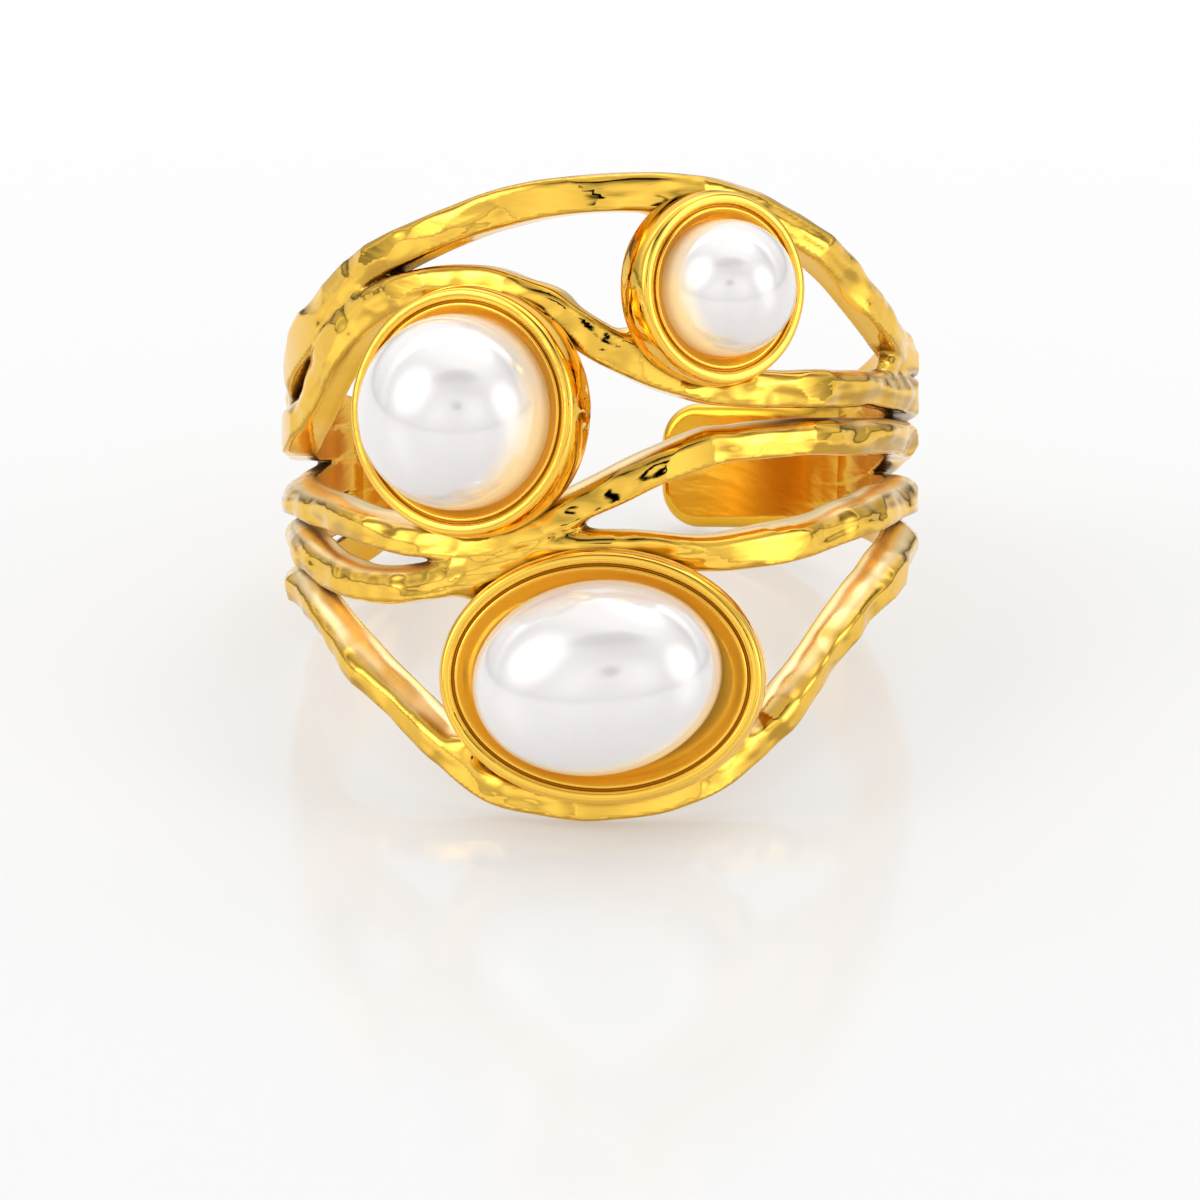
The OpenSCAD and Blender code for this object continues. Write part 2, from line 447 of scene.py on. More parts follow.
    def ridge_drop(self, across: np.ndarray, angle: np.ndarray) -> np.ndarray:
        """How far the face falls away on the two sides of its wandering ridge.

        Args:
            across: Places across the strip, from its middle.
            angle: Degrees round the finger.

        Returns:
            The drop, in millimetres.
        """
        aside = across - np.interp(angle, self.angles, self.ridge)
        bend = np.hypot(aside, self.ridge_radius)
        upper = np.interp(angle, self.angles, self.upper_fall)
        lower = np.interp(angle, self.angles, self.lower_fall)
        fold = 2 * math.pi * across / self.groove_gap + np.interp(angle, self.angles, self.groove_start)
        groove = np.interp(angle, self.angles, self.groove_depth) * (1 + np.sin(fold))
        return upper * (bend + aside) / 2 + lower * (bend - aside) / 2 + groove

    def face_depth(self, along: np.ndarray, across: np.ndarray, angle: np.ndarray) -> np.ndarray:
        """Height of the hammered outer face above the finger.

        Args:
            along: Places along the strip.
            across: Places across the strip, from its middle.
            angle: Degrees round the finger.

        Returns:
            The distances from the finger to the face.
        """
        face = np.full(np.shape(along), FAR)
        for place, depth, slope, tilt in self.facets:
            gap = along - place
            flat = self.thickness + depth + slope * gap + tilt * across
            flat = flat + self.flatness * gap * gap / (2 * self.outer_radius)
            near = np.abs(gap) < self.facet_reach
            face = np.where(near, soft_min(face, flat, self.facet_blend), face)
        crown = self.crown * (2 * across / self.width) ** 2
        face = face + self.dents(along, across) - self.ridge_drop(across, angle)
        lean = self.shift * np.sin(np.radians(angle))
        sink = self.sink_depth * ease(np.abs(angle), *self.outer_sink)
        return np.clip(face - crown + lean - sink, self.thinnest, self.thickest)


# How the strips differ, from the top one to the bottom one.
# Columns: column of ROUTES, width, thickness, chamfer of the upper edge, how far the face moves out towards
# the right and in towards the left, seed of the hammer marks.
STRIPS = (
    (1, 1.20, 1.13, 0.12, -0.10, 11),
    (2, 1.16, 1.15, 0.12, -0.04, 23),
    (3, 1.14, 1.13, 0.28, 0.04, 35),
    (4, 1.16, 1.12, 0.26, 0.06, 47),
    (5, 1.26, 1.12, 0.48, 0.08, 59),
)


# Solder between strips and cups, a lump a row.
# Columns: angle, height, half its length, half its height, level of its top, how uneven it is.
SOLDER = (
    (-49.0, 5.35, 0.55, 0.50, 0.85, 0.02),
    (-92.0, 1.75, 1.60, 0.35, 0.80, 0.02),
    (73.0, 3.30, 0.90, 0.40, 0.85, 0.02),
    (81.0, 3.15, 1.20, 0.40, 0.90, 0.02),
    (-12.5, 5.20, 1.10, 0.42, 1.14, 0.04),
    (-7.0, -1.75, 0.70, 0.40, 1.02, 0.02),
    (-12.0, -2.05, 1.20, 0.50, 1.06, 0.02),
    (-20.0, -2.45, 1.20, 0.55, 1.06, 0.025),
    (-26.0, -2.75, 0.90, 0.40, 1.00, 0.02),
    (-23.0, -3.50, 0.60, 0.40, 1.02, 0.02),
    (13.5, 7.95, 0.80, 0.45, 1.10, 0.04),
    (7.5, 4.00, 0.65, 0.45, 1.08, 0.04),
    (6.0, -3.30, 0.80, 0.40, 1.05, 0.04),
    (-24.5, -8.35, 0.75, 0.45, 1.05, 0.05),
    (24.0, -8.10, 0.75, 0.45, 1.05, 0.05),
)


@dataclass(frozen=True)
class Solder:
    """The lumps of solder that join strips and cups.

    A wave's two numbers are how fast it runs along the band and up it, in radians a millimetre.
    """

    finger: Finger = field(default_factory=Finger)
    half_depth: float = 0.55
    lowest: float = 0.35
    slow_wave: tuple[float, float] = (3.1, 1.7)
    quick_wave: tuple[float, float] = (1.3, 5.3)
    quick_share: float = 0.6

    def distance(self, angle: np.ndarray, height: np.ndarray, depth: np.ndarray) -> np.ndarray:
        """Measure roughly how far points are from the solder's skin.

        Args:
            angle: Degrees round the finger.
            height: Heights along the finger.
            depth: Distances out from the finger.

        Returns:
            Signed distances in millimetres, negative inside the metal.
        """
        nearest = np.full(np.shape(angle), FAR)
        for place, middle, length, width, top, uneven in SOLDER:
            along = (angle - place) * self.finger.arc
            up = height - middle
            slow = np.sin(along * self.slow_wave[0] + up * self.slow_wave[1] + place)
            quick = np.cos(up * self.quick_wave[1] - along * self.quick_wave[0] + middle)
            wave = slow + self.quick_share * quick
            level = depth - (top - self.half_depth) - uneven * wave
            reach = np.sqrt((along / length) ** 2 + (up / width) ** 2 + (level / self.half_depth) ** 2)
            nearest = np.minimum(nearest, (reach - 1) * min(length, width, self.half_depth))
        return np.maximum(nearest, self.lowest - depth)


@dataclass
class Tabs:
    """The two flat, rounded tabs at the back, which the strips run into.

    Each is a wedge that starts inside the strips: its inner face rises to the finger at flush, at the slope
    ramp, and its outer face has its whole thickness from thick_after degrees past its start.
    """

    start: float = 104.0
    end: float = 166.9
    height: float = 4.2
    thickness: float = 1.12
    corner: float = 1.35
    lip: float = 0.4
    flush: float = 119.0
    ramp: float = 0.35
    thin_share: float = 0.3
    thick_after: float = 16.0
    finger: Finger = field(default_factory=Finger)

    def distance(self, angle: np.ndarray, height: np.ndarray, depth: np.ndarray) -> np.ndarray:
        """Measure how far points are from the tabs' skin.

        Args:
            angle: Degrees round the finger.
            height: Heights along the finger.
            depth: Distances out from the finger.

        Returns:
            Signed distances in millimetres, negative inside the metal.
        """
        half = (self.end - self.start) / 2 * self.finger.arc
        along = (np.abs(angle) - (self.start + self.end) / 2) * self.finger.arc
        reach = np.abs(along) - half + self.corner
        rise = np.abs(height) - self.height / 2 + self.corner
        outline = np.hypot(np.maximum(reach, 0), np.maximum(rise, 0)) - self.corner
        outline = outline + np.minimum(np.maximum(reach, rise), 0)
        inner = self.ramp * np.maximum(self.flush - np.abs(angle), 0.0) * self.finger.arc
        grown = ease(np.abs(angle), self.start, self.start + self.thick_after)
        outer = self.thickness * (self.thin_share + (1 - self.thin_share) * grown)
        return round_meet((outline, inner - depth, depth - outer), self.lip)


@dataclass(frozen=True)
class SampledNet:
    """A closed mesh of four-sided faces, drawn round the inside of a sampled distance field."""

    spacing: tuple[float, float, float]
    corner: tuple[float, float, float]

    def polygonise(self, values: np.ndarray) -> tuple[np.ndarray, np.ndarray]:
        """Draw the skin between the samples below zero and the others.

        Args:
            values: Signed distances on a regular grid of samples.

        Returns:
            The points of the skin, one a row, and its faces, four point numbers a row.
        """
        inside = values < 0
        shape = tuple(n - 1 for n in values.shape)
        total = np.zeros(shape + (3,))
        count = np.zeros(shape)
        for axis in range(3):
            others = [a for a in range(3) if a != axis]
            for shift in ((0, 0), (0, 1), (1, 0), (1, 1)):
                start = [slice(0, n) for n in shape]
                for other, move in zip(others, shift):
                    start[other] = slice(move, shape[other] + move)
                far = list(start)
                far[axis] = slice(1, shape[axis] + 1)
                low, high = values[tuple(start)], values[tuple(far)]
                crossed = inside[tuple(start)] != inside[tuple(far)]
                share = np.where(crossed, low / np.where(crossed, low - high, 1.0), 0.0)
                total[..., axis] += share
                for other, move in zip(others, shift):
                    total[..., other] += np.where(crossed, move, 0)
                count += crossed
        cells = count > 0
        number = np.full(shape, -1)
        number[cells] = np.arange(int(cells.sum()))
        index = np.argwhere(cells)
        points = (index + total[cells] / count[cells][:, None]) * self.spacing + self.corner
        faces = [self.faces_across(inside, number, axis) for axis in range(3)]
        return points, np.concatenate(faces)

    @staticmethod
    def faces_across(inside: np.ndarray, number: np.ndarray, axis: int) -> np.ndarray:
        """Make the faces that cross the grid's lines along one axis.

        Args:
            inside: Which samples are inside.
            number: The number of each cell's point.
            axis: The axis that the lines run along.

        Returns:
            The faces, four point numbers a row, wound to face outward.
        """
        b, c = [(1, 2), (2, 0), (0, 1)][axis]
        span = [slice(0, n) for n in inside.shape]
        for other in (b, c):
            span[other] = slice(1, inside.shape[other] - 1)
        low = list(span)
        low[axis] = slice(0, inside.shape[axis] - 1)
        high = list(span)
        high[axis] = slice(1, inside.shape[axis])
        leaves = inside[tuple(low)] & ~inside[tuple(high)]
        enters = ~inside[tuple(low)] & inside[tuple(high)]
        quads = []
        for mask, flip in ((leaves, False), (enters, True)):
            at = np.argwhere(mask)
            at[:, b] += 1
            at[:, c] += 1
            ring = []
            for back_b, back_c in ((1, 1), (0, 1), (0, 0), (1, 0)):
                cell = at.copy()
                cell[:, b] -= back_b
                cell[:, c] -= back_c
                ring.append(number[cell[:, 0], cell[:, 1], cell[:, 2]])
            quads.append(np.stack(ring[::-1] if flip else ring, axis=1))
        return np.concatenate(quads)


def new_object(
    name: str,
    points: np.ndarray,
    faces: Sequence[Sequence[int]],
    normals: np.ndarray | None = None,
) -> bpy.types.Object:
    """Make a smooth mesh object at the origin.

    Args:
        name: The object's name.
        points: Its points in metres, one a row.
        faces: Its faces, each a row of point numbers.
        normals: The directions straight out of the surface at the points, where they are known.

    Returns:
        The object, linked to the scene.
    """
    mesh = bpy.data.meshes.new(name)
    mesh.from_pydata(points.tolist(), [], [list(map(int, f)) for f in faces])
    mesh.validate()
    mesh.shade_smooth()
    if normals is not None:
        mesh.normals_split_custom_set_from_vertices(normals.tolist())
    made = bpy.data.objects.new(name, mesh)
    bpy.context.scene.collection.objects.link(made)
    return made


def mark_points(piece: bpy.types.Object, name: str, values: np.ndarray) -> None:
    """Give each point of a piece a number for its finish to use."""
    piece.data.attributes.new(name, "FLOAT", "POINT").data.foreach_set("value", values.astype(np.float32))


def claim(piece: bpy.types.Object, node: str, material: bpy.types.Material) -> None:
    """Tie a piece to the frame and give it its finish.

    Args:
        piece: The new piece.
        node: The CAD node that it stands for.
        material: Its finish.
    """
    piece.data.materials.clear()
    piece.data.materials.append(material)
    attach(piece, ROOT_BODY)
    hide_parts(node)
    log.info("%s: %d faces", piece.name, len(piece.data.polygons))


@dataclass
class HammeredBand:
    """The strips and the tabs, as one soldered and polished skin."""

    pose: RingPose
    cups: list["PearlCup"]
    finger: Finger = field(default_factory=Finger)
    strips: list[Strip] = field(default_factory=lambda: [Strip(*row) for row in STRIPS])
    solder: Solder = field(default_factory=Solder)
    tabs: Tabs = field(default_factory=Tabs)
    sections: tuple[tuple[str, float, float], ...] = (
        ("band_left_tab", -180.0, -75.0),
        ("band_left_front", -75.0, 0.0),
        ("band_right_front", 0.0, 75.0),
        ("band_right_tab", 75.0, 180.0),
    )

    cell: float = 0.1
    end: float = 170.0
    top: float = 9.4
    bottom: float = -10.8
    inside: float = -0.25
    outside: float = 1.55
    fillet: float = 0.14
    solder_fillet: float = 0.35
    tab_fillet: float = 0.2
    settle_nudge: float = 0.01
    normal_nudge: float = 0.02
    least_steep: float = 0.25

    # Where painted shade, the inner faces' roughness and painted shade, and the upper sides' brushing and
    # painted highlight fall.
    feel: float = 0.25
    crowded: tuple[float, float] = (0.2, 0.95)
    inner_face_depth: tuple[float, float] = (0.45, 0.15)
    upper_side_rise: tuple[float, float] = (0.45, 0.75)
    upper_side_inner: tuple[float, float] = (0.1, 0.3)
    upper_side_outer: tuple[float, float] = (1.05, 0.8)
    # Painted shade along the rounded edges of the strips' outer faces.
    edge_shade: float = 0.55
    edge_rise: tuple[float, float] = (0.25, 0.45)
    edge_end: tuple[float, float] = (0.85, 0.7)
    edge_depth: tuple[float, float] = (0.7, 0.9)
    edge_arc: tuple[float, float] = (16.5, 14.0)

    def distance(self, angle: np.ndarray, height: np.ndarray, depth: np.ndarray) -> np.ndarray:
        """Measure how far points are from the metal's skin.

        Args:
            angle: Degrees round the finger.
            height: Heights along the finger.
            depth: Distances out from the finger.

        Returns:
            Signed distances in millimetres, negative inside the metal.
        """
        metal = self.strips[0].distance(angle, height, depth)
        for strip in self.strips[1:]:
            metal = soft_min(metal, strip.distance(angle, height, depth), self.fillet)
        metal = soft_min(metal, self.solder.distance(angle, height, depth), self.solder_fillet)
        return soft_min(metal, self.tabs.distance(angle, height, depth), self.tab_fillet)

    def measure(self, points: np.ndarray) -> np.ndarray:
        """Signed distances of points of the unrolled sheet: arc length, height and depth."""
        return self.distance(points[:, 0] / self.finger.arc, points[:, 1], points[:, 2])

    def steepest(self, points: np.ndarray, nudge: float) -> np.ndarray:
        """Directions in which the distance grows fastest.

        Args:
            points: Points of the unrolled sheet.
            nudge: How far each point is moved to feel the slope.

        Returns:
            The slope along each of the three axes, one point a row.
        """
        slope = np.zeros_like(points)
        for axis in range(3):
            step = np.zeros(3)
            step[axis] = nudge
            slope[:, axis] = (self.measure(points + step) - self.measure(points - step)) / (2 * nudge)
        return slope

    def settle(self, points: np.ndarray, rounds: int = 2) -> np.ndarray:
        """Move points of the unrolled sheet onto the skin.

        Args:
            points: Arc length, height and depth, one point a row.
            rounds: How many times each point is moved.

        Returns:
            The moved points.
        """
        for _ in range(rounds):
            slope = self.steepest(points, self.settle_nudge)
            steep = np.maximum((slope**2).sum(axis=1), self.least_steep)
            move = np.clip(self.measure(points), -self.cell, self.cell) / steep
            points = points - slope * move[:, None]
        return points

    def outward(self, points: np.ndarray) -> np.ndarray:
        """Directions straight out of the skin, in the frame.

        Args:
            points: Points of the unrolled sheet.

        Returns:
            Unit directions, one point a row.
        """
        slope = self.steepest(points, self.normal_nudge)
        turn = np.radians(points[:, 0] / self.finger.arc)
        round_it = slope[:, 0] * self.finger.middle / (self.finger.radius + points[:, 2])
        out = slope[:, 2]
        x = out * np.sin(turn) + round_it * np.cos(turn)
        y = -out * np.cos(turn) + round_it * np.sin(turn)
        turned = np.stack([x, y, slope[:, 1]], axis=1) @ np.array(self.pose.matrix())[:3, :3].T
        return turned / np.linalg.norm(turned, axis=1)[:, None]

    def crowding(self, points: np.ndarray, out: np.ndarray, own: "PearlCup | None" = None) -> np.ndarray:
        """How far places of the skin lie in narrow crevices of the metal, which is where painted shade
        goes.

        Args:
            points: Points of the skin in the ring's own frame.
            out: Directions straight out of it.
            own: The cup that the points belong to, if they do.

        Returns:
            0 in the open to 1 deep in narrow crevices, one number a point.
        """
        probe = points + self.feel * out
        angle = np.degrees(np.arctan2(probe[:, 0], -probe[:, 1]))
        depth = np.hypot(probe[:, 0], probe[:, 1]) - self.finger.radius
        room = self.distance(angle, probe[:, 2], depth)
        for cup in self.cups:
            if cup is not own:
                room = np.minimum(room, cup.distance(probe))
        return ease(1 - room / self.feel, *self.crowded)

    def marks(self, points: np.ndarray, rolled: np.ndarray, out: np.ndarray) -> dict[str, np.ndarray]:
        """Work out what the gold's finish follows at each point of the skin.

        Args:
            points: Arc length, height and depth, one point a row.
            rolled: The same points in the ring's own frame.
            out: Directions straight out of the skin there, in the ring's own frame.

        Returns:
            The painted shade in crevices and on strip edges, the inner faces' roughness with their painted
            shade, and the upper sides' brushing with their painted highlight, each from 0 to 1.
        """
        depth = points[:, 2]
        rise = np.abs(out[:, 2])
        # Painted shade: dark lines along the rounded edges of the strips' outer faces, towards the front.
        edge = ease(rise, *self.edge_rise) * ease(rise, *self.edge_end) * ease(depth, *self.edge_depth)
        edge = self.edge_shade * edge * ease(np.abs(points[:, 0]), *self.edge_arc)
        # The upper sides get brushing and a painted highlight.
        sides = ease(out[:, 2], *self.upper_side_rise) * ease(depth, *self.upper_side_inner)
        # Painted shade in crevices and on edges, painted shade on inner faces, a painted highlight on upper
        # sides.
        return {
            PAINTED_SHADE: np.maximum(self.crowding(rolled, out), edge),
            SATIN_AND_SHADE: ease(depth, *self.inner_face_depth),
            BRUSHED_AND_HIGHLIT: sides * ease(depth, *self.upper_side_outer),
        }

    def build(self, material: bpy.types.Material) -> None:
        """Make the band's meshes, cut apart where no seam shows.

        Args:
            material: The metal.
        """
        far = self.end * self.finger.arc
        low = (-far, self.bottom, self.inside)
        high = (far, self.top, self.outside)
        axes = [np.arange(a, b, self.cell) for a, b in zip(low, high)]
        arc, height, depth = np.meshgrid(*axes, indexing="ij")
        values = self.distance(arc / self.finger.arc, height, depth)
        points, faces = SampledNet((self.cell,) * 3, low).polygonise(values)
        points = self.settle(points)
        normals = self.outward(points)
        rolled = self.finger.wrap(points[:, 0] / self.finger.arc, points[:, 1], points[:, 2])
        placed = self.pose.place(rolled)
        marks = self.marks(points, rolled, self.pose.unturn(normals))
        middle = points[faces[:, 0], 0] / self.finger.arc
        for name, start, stop in self.sections:
            chosen = faces[(middle >= start) & (middle < stop)]
            used, numbers = np.unique(chosen, return_inverse=True)
            part = new_object(name, placed[used], numbers.reshape(-1, 4), normals[used])
            for mark, strength in marks.items():
                mark_points(part, mark, strength[used])
            claim(part, "band", material)


@dataclass(frozen=True)
class Seat:
    """Where a cup sits on the band: the middle of its rim, and the turn of its axis."""

    angle: float
    turn: float
    height: float
    reach: float = 11.0

    def matrix(self) -> Matrix:
        """Turn from the cup's own axes, +Z out of its mouth and +Y up the band, to the ring's.

        Returns:
            The turn and the move, in millimetres.
        """
        around = math.radians(self.angle)
        middle = (self.reach * math.sin(around), -self.reach * math.cos(around), self.height)
        turn = Matrix.Rotation(math.radians(self.turn), 4, "Z")
        return Matrix.Translation(middle) @ turn @ Matrix.Rotation(math.radians(90), 4, "X")

    def place(self, points: np.ndarray) -> np.ndarray:
        """Put points of the cup's own axes, one a row, on the ring."""
        local = np.array(self.matrix())
        return points @ local[:3, :3].T + local[:3, 3]


# Section of a cup's rim, from its underside over the crest and down to the pearl.
# Columns: distance in from the outside, height from the crest.
RIM_SECTION = (
    (0.55, -1.30),
    (0.00, -1.30),
    (-0.05, -1.22),
    (-0.09, -0.80),
    (-0.07, -0.42),
    (-0.02, -0.16),
    (0.03, -0.06),
    (0.10, -0.01),
    (0.19, 0.00),
    (0.28, -0.015),
    (0.34, -0.06),
    (0.37, -0.16),
    (0.41, -0.16),
    (0.44, -0.07),
    (0.50, -0.045),
    (0.56, -0.10),
    (0.62, -0.18),
    (0.69, -0.27),
    (0.77, -0.36),
    (0.88, -0.44),
    (1.02, -0.50),
    (1.30, -0.54),
)


@dataclass
class PearlCup:
    """A plain cup with a rolled rim, turned round or drawn to an oval."""

    name: str
    seat: Seat
    pose: RingPose
    width: float
    height: float
    seed: int
    section: Sequence[tuple[float, float]] = RIM_SECTION
    sides: int = 224
    wave_counts: tuple[int, ...] = (2, 3, 5, 7, 9, 13)
    wall_wave: float = 0.02
    wall_wave_from: tuple[float, float] = (-0.1, -0.5)
    wall_wave_at_rim: float = 0.4
    wall_width: float = 0.3
    slope_wave_share: float = 0.35
    crest_wave: float = 0.012
    crest_wave_ends: tuple[float, float] = (0.9, 0.4)
    groove: float = 0.39
    groove_edge: tuple[float, float] = (0.05, 0.02)
    groove_lowest: float = -0.5
    # Painted shade in the groove and on the slope round the pearl.
    groove_shade: float = 0.75
    shade_from: float = 0.7
    shade_depth: tuple[float, float] = (-0.42, -0.53)
    shade_tone: float = 0.75

    def outline(self) -> tuple[np.ndarray, np.ndarray]:
        """Draw the cup's outer edge.

        Returns:
            Its points and the directions straight out of it there, one point a row.
        """
        turn = np.linspace(0.0, 2 * math.pi, self.sides, endpoint=False)
        a, b = self.width / 2, self.height / 2
        edge = np.stack([a * np.cos(turn), b * np.sin(turn)], axis=1)
        out = np.stack([np.cos(turn) / a, np.sin(turn) / b], axis=1)
        return edge, out / np.linalg.norm(out, axis=1)[:, None]

    def fine_section(self, parts: int = 3) -> np.ndarray:
        """The rim's section on a smooth curve through its points.

        Args:
            parts: Steps between two points of the section.

        Returns:
            Distances in and heights, one point a row.
        """
        rough = np.array(self.section)
        place = np.arange(len(rough))
        fine = np.linspace(0, len(rough) - 1, (len(rough) - 1) * parts + 1)
        slope = np.gradient(rough, axis=0)
        low = np.minimum(fine.astype(int), len(rough) - 2)
        t = (fine - place[low])[:, None]
        a, b, u, v = rough[low], rough[low + 1], slope[low], slope[low + 1]
        return (
            a * (1 + 2 * t) * (1 - t) ** 2
            + b * t * t * (3 - 2 * t)
            + u * t * (1 - t) ** 2
            - v * t * t * (1 - t)
        )

    def distance(self, points: np.ndarray) -> np.ndarray:
        """Measure roughly how far points of the ring's own frame are from the cup, filled in.

        Args:
            points: The points, one a row.

        Returns:
            Signed distances in millimetres, negative inside.
        """
        local = np.array(self.seat.matrix())
        x, y, z = ((points - local[:3, 3]) @ local[:3, :3]).T
        a, b = self.width / 2, self.height / 2
        wall = (np.hypot(x / a, y / b) - 1) * min(a, b)
        return np.maximum.reduce([wall, z, self.section[0][1] - z])

    def rings(self, section: np.ndarray) -> np.ndarray:
        """Turn the rim's section round the cup, with the small waves of hand work.

        Args:
            section: Distances in and heights, one point a row.

        Returns:
            The cup's points in its own axes, ring after ring.
        """
        rng = np.random.default_rng(self.seed)
        edge, out = self.outline()
        turn = np.linspace(0.0, 2 * math.pi, self.sides, endpoint=False)
        waves = [(k, rng.uniform(0, 2 * math.pi), rng.normal(0, 1.0 / k)) for k in self.wave_counts]
        wave = sum(size * np.cos(k * turn + start) for k, start, size in waves)
        lift = sum(size * np.sin((k + 1) * turn + 2 * start) for k, start, size in waves)
        at_rim = self.wall_wave_at_rim
        rows = []
        for inward, level in section:
            strength = at_rim + (1 - at_rim) * float(ease(level, *self.wall_wave_from))
            share = 1.0 if inward < self.wall_width else self.slope_wave_share
            flat = edge - out * inward + out * (self.wall_wave * wave * strength)[:, None] * share
            rise = level + self.crest_wave * lift * float(ease(inward, *self.crest_wave_ends))
            rows.append(np.column_stack([flat, rise]))
        return np.concatenate(rows)

    def shade(self, inward: np.ndarray, level: np.ndarray) -> np.ndarray:
        """How much painted shade the groove in the rim and the slope round the pearl get.

        Args:
            inward: Distances in from the outside.
            level: Heights from the crest.

        Returns:
            0 for none to 1 for the full painted shade, one number a point.
        """
        slope = self.shade_tone * (ease(level, *self.shade_depth) * (inward > self.shade_from))
        groove = self.groove_shade * ease(np.abs(inward - self.groove), *self.groove_edge)
        return np.maximum(slope, groove * (level > self.groove_lowest))

    def build(self, material: bpy.types.Material, band: HammeredBand) -> None:
        """Make the cup's mesh.

        Args:
            material: The metal.
            band: The strips that the cup is soldered to.
        """
        section = self.fine_section()
        points = self.rings(section)
        n = self.sides
        faces = []
        for i in range(len(section) - 1):
            for j in range(n):
                k = (j + 1) % n
                faces.append((i * n + j, i * n + k, (i + 1) * n + k, (i + 1) * n + j))
        last = (len(section) - 1) * n
        faces.append(list(range(n - 1, -1, -1)))
        faces.append(list(range(last, last + n)))
        placed = self.seat.place(points)
        cup = new_object(self.name, self.pose.place(placed), faces)
        out = np.zeros(len(placed) * 3)
        cup.data.vertices.foreach_get("normal", out)
        # Painted shade: where the cup crowds against the band, in its groove and on the slope round the
        # pearl.
        crowded = band.crowding(placed, self.pose.unturn(out.reshape(-1, 3)), self)
        dark = self.shade(np.repeat(section[:, 0], n), points[:, 2])
        mark_points(cup, PAINTED_SHADE, np.maximum(crowded, dark))
        claim(cup, "band", material)


@dataclass
class HalfPearl:
    """A half pearl on a flat back, with its width, height and rise above its middle.

    It is moved aside in its cup and lifted out of it, and it has a painted warm reflection and glow of the
    gold, most on the side of the cup's wide gap.
    """

    name: str
    node: str
    seat: Seat
    pose: RingPose
    width: float
    height: float
    rise: float
    aside: float
    glow_side: float
    turn: float = 0.0
    lift: float = 0.0
    sides: int = 160
    rings: int = 96
    below: float = 0.9
    lowest: float = -0.95
    # Where the painted reflection and glow of the gold fall: towards the cup's wide gap, and at the foot.
    side_glow: tuple[float, float] = (0.8, 1.0)
    foot_glow: tuple[float, float] = (0.9, 0.0)
    foot_strength: float = 0.6

    def glow(self, points: np.ndarray) -> np.ndarray:
        """How much painted reflection and glow of the cup's gold each point gets, most on the side of its
        wide gap.

        Args:
            points: The pearl's points in its cup's axes, one a row.

        Returns:
            0 for plain pearl to 1 for the full painted glow, one number a point.
        """
        east = 2 * (points[:, 0] - self.aside) / self.width
        north = 2 * points[:, 1] / self.height
        turn = np.arctan2(north, east) - math.radians(self.glow_side)
        side = np.hypot(east, north) * np.sqrt(np.maximum(0.5 + 0.5 * np.cos(turn), 0.0))
        foot = self.foot_strength * ease(points[:, 2], *self.foot_glow)
        return np.maximum(ease(side, *self.side_glow), foot)

    def dome(self) -> np.ndarray:
        """Work out the pearl's points, its top first and then ring after ring down to its flat back.

        Returns:
            The points in its cup's axes, one a row.
        """
        bottom = math.asin(max(-self.below / self.rise, self.lowest))
        tilt = np.linspace(math.pi / 2, bottom, self.rings)[1:]
        turn = np.linspace(0.0, 2 * math.pi, self.sides, endpoint=False)
        up, around = np.meshgrid(tilt, turn, indexing="ij")
        x = self.width / 2 * np.cos(up) * np.cos(around)
        y = self.height / 2 * np.cos(up) * np.sin(around)
        z = self.rise * np.sin(up)
        upright = np.where(z < 0, 1.0 / np.cos(up), 1.0)
        x, y = x * upright, y * upright
        turned = math.radians(self.turn)
        flat_x = x * math.cos(turned) - y * math.sin(turned) + self.aside
        flat_y = x * math.sin(turned) + y * math.cos(turned)
        shell = np.stack([flat_x, flat_y, z + self.lift], axis=-1).reshape(-1, 3)
        return np.concatenate([[[self.aside, 0.0, self.rise + self.lift]], shell])

    def build(self, material: bpy.types.Material) -> None:
        """Make the pearl's mesh.

        Args:
            material: The pearl's finish.
        """
        points = self.dome()
        n = self.sides
        faces: list[tuple[int, ...]] = [(0, 1 + j, 1 + (j + 1) % n) for j in range(n)]
        for i in range(self.rings - 2):
            for j in range(n):
                k = (j + 1) % n
                faces.append((1 + i * n + j, 1 + (i + 1) * n + j, 1 + (i + 1) * n + k, 1 + i * n + k))
        last = 1 + (self.rings - 2) * n
        faces.append(tuple(range(last + n - 1, last - 1, -1)))
        pearl = new_object(self.name, self.pose.place(self.seat.place(points)), faces)
        # Painted reflection and glow of the gold.
        mark_points(pearl, PAINTED_GLOW, self.glow(points))
        claim(pearl, self.node, material)


class Maths(Enum):
    """The sums that a Math node does here."""

    ADD = "ADD"
    SUBTRACT = "SUBTRACT"
    MULTIPLY = "MULTIPLY"
    ROOT = "SQRT"


